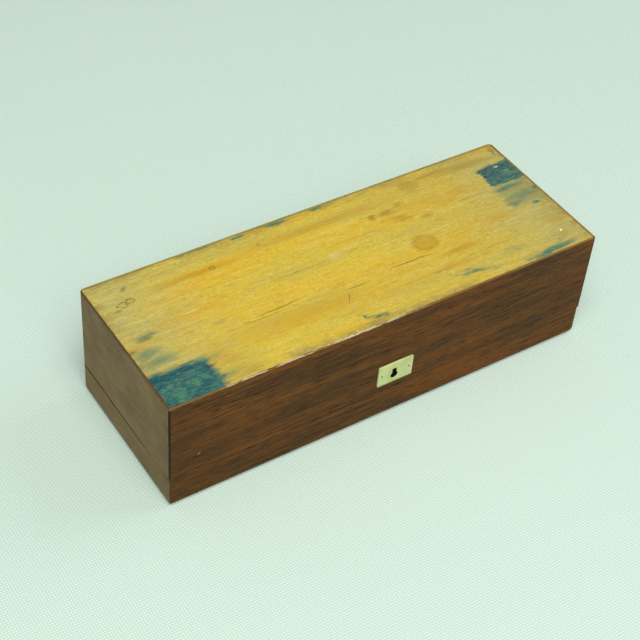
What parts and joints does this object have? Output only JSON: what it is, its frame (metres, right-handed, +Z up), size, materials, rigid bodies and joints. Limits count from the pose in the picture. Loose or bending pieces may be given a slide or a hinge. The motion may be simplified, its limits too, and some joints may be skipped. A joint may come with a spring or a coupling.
{
  "type": "cased trial lens set",
  "caption": "Oblong wooden case with a hinged, lockable lid, holding two rows of rimmed trial lenses in slotted rails beside an open compartment; stored lid down.",
  "frame": {"origin": "middle of the closed case's footprint, on the lid's outer face, which is the face the case stands on (it is stored upside down)", "axes": "+X along the case, -Y towards the keyhole side, +Z up from the lid to the raw underside of the case"},
  "size_m": [0.24, 0.0882, 0.065],
  "materials": {
    "mahogany": "worn satin polish",
    "softwood": "raw, aged",
    "silk": "padded silk",
    "velvet": "short pile",
    "brass": "aged",
    "steel": "dull",
    "white_metal": "satin white metal",
    "bone": "polished bone",
    "glass": "polished"
  },
  "bodies": {
    "lid": {"lid_board": "mahogany", "lid_front_rail": "mahogany", "lid_back_rail": "mahogany", "lid_left_rail": "mahogany", "lid_right_rail": "mahogany", "lid_pad": "silk", "link_plate": "brass", "link_plate_screws": "steel", "hinge_left_lid_leaf": "brass", "hinge_right_lid_leaf": "brass", "hinge_pins": "steel", "hinge_lid_screws": "steel"},
    "case": {"case_bottom_board": "softwood", "case_front_wall": "softwood", "case_back_wall": "softwood", "case_left_wall": "softwood", "case_right_wall": "softwood", "case_front_veneer": "mahogany", "case_back_veneer": "mahogany", "case_left_veneer": "mahogany", "case_right_veneer": "mahogany", "escutcheon": "bone", "escutcheon_pins": "steel", "hinge_left_case_leaf": "brass", "hinge_right_case_leaf": "brass", "hinge_case_screws": "steel", "lock_plate": "brass", "lock_cap": "brass", "lock_spring": "steel", "lock_drill_pin": "steel", "lock_screws": "steel", "floor_lining": "velvet", "rack_front_rail": "mahogany", "rack_centre_rail": "mahogany", "rack_back_rail": "mahogany", "compartment_divider": "mahogany", "convex_glasses": "glass", "concave_glasses": "glass", "plus_pair_01": "brass", "plus_pair_02": "brass", "plus_pair_03": "brass", "plus_pair_04": "brass", "plus_pair_05": "brass", "plus_pair_06": "brass", "plus_pair_07": "brass", "plus_pair_08": "brass", "plus_pair_09": "brass", "plus_pair_10": "brass", "minus_pair_01": "white_metal", "minus_pair_02": "white_metal", "minus_pair_03": "white_metal", "minus_pair_04": "white_metal", "minus_pair_05": "white_metal", "minus_pair_06": "white_metal", "minus_pair_07": "white_metal", "minus_pair_08": "white_metal", "minus_pair_09": "white_metal", "minus_pair_10": "white_metal"},
    "bolt": {"lock_bolt": "steel"}
  },
  "joints": [
    {"name": "lid_hinge", "type": "hinge", "parent": "lid", "child": "case", "pos_m": [0, 0.0427, 0.018], "axis": [-1, 0, 0], "range_deg": [0, 95]},
    {"name": "lock_bolt_slide", "type": "slide", "parent": "case", "child": "bolt", "axis": [1, 0, 0], "range_m": [0, 0.0025]}
  ]
}
